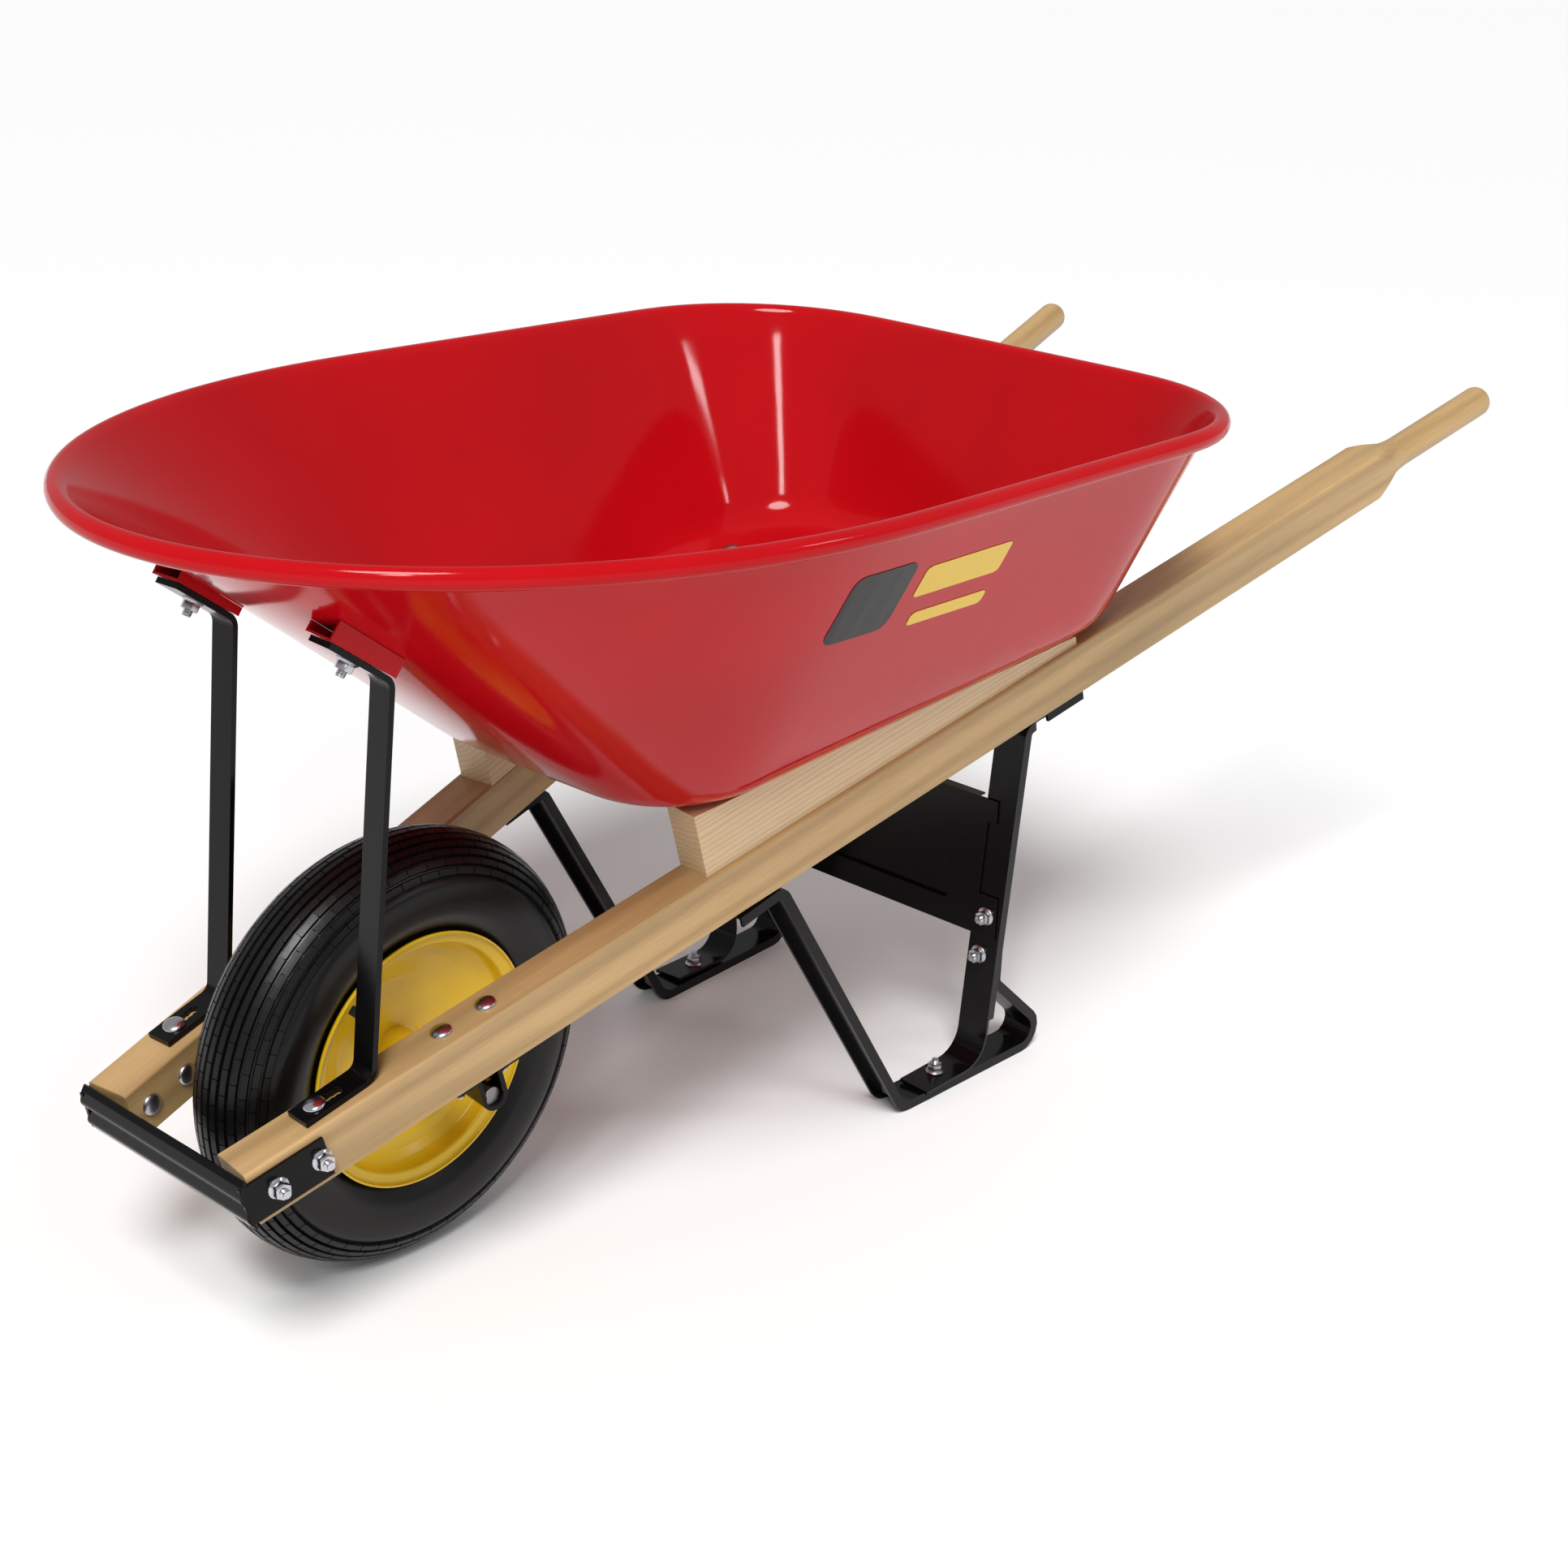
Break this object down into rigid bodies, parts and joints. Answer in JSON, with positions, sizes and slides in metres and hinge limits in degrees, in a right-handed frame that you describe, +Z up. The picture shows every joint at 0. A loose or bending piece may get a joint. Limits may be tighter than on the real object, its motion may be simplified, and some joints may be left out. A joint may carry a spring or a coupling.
{
  "type": "wheelbarrow",
  "caption": "Single-wheel barrow with a deep pressed steel tray on splayed wooden handles, strap-steel legs and a pneumatic wheel turning on a fixed axle.",
  "frame": {"origin": "on the ground under the middle of the whole box", "axes": "+X runs from the wheel to the grips, +Y is the operator's right, +Z is up"},
  "size_m": [1.5423, 0.6966, 0.6923],
  "materials": {
    "red_enamel": "gloss",
    "hardwood": "satin lacquer",
    "pale_wood": "satin lacquer",
    "black_enamel": "gloss",
    "tyre_rubber": "satin",
    "tube_rubber": "matte",
    "yellow_enamel": "gloss",
    "cap_plastic": "gloss",
    "bare_steel": "turned",
    "zinc_plate": "zinc plated"
  },
  "bodies": {
    "frame": {"tray": "red_enamel", "left_tray_lug": "red_enamel", "right_tray_lug": "red_enamel", "left_tray_strut": "black_enamel", "right_tray_strut": "black_enamel", "left_handle": "hardwood", "right_handle": "hardwood", "left_wedge": "pale_wood", "right_wedge": "pale_wood", "nose_bracket": "black_enamel", "left_axle_bracket": "black_enamel", "right_axle_bracket": "black_enamel", "axle": "bare_steel", "left_axle_spacer": "bare_steel", "right_axle_spacer": "bare_steel", "left_leg_strap": "black_enamel", "right_leg_strap": "black_enamel", "left_leg_upright": "black_enamel", "right_leg_upright": "black_enamel", "leg_brace": "black_enamel", "nose_bolts": "zinc_plate", "nose_nuts": "zinc_plate", "axle_bracket_bolts": "zinc_plate", "axle_bracket_nuts": "zinc_plate", "strut_bolts": "zinc_plate", "strut_nuts": "zinc_plate", "tray_bolts": "zinc_plate", "tray_nuts": "zinc_plate", "leg_bolts": "zinc_plate", "leg_nuts": "zinc_plate"},
    "wheel": {"tyre": "tyre_rubber", "inner_tube": "tube_rubber", "left_rim_half": "yellow_enamel", "right_rim_half": "yellow_enamel", "hub": "yellow_enamel", "left_bearing": "bare_steel", "right_bearing": "bare_steel", "valve_stem": "tube_rubber", "valve_cap": "cap_plastic", "grease_fitting": "yellow_enamel"}
  },
  "joints": [
    {"name": "wheel_spin", "type": "hinge", "parent": "frame", "child": "wheel", "pos_m": [-0.52691, 0, 0.192], "axis": [0, 1, 0], "continuous": true}
  ]
}
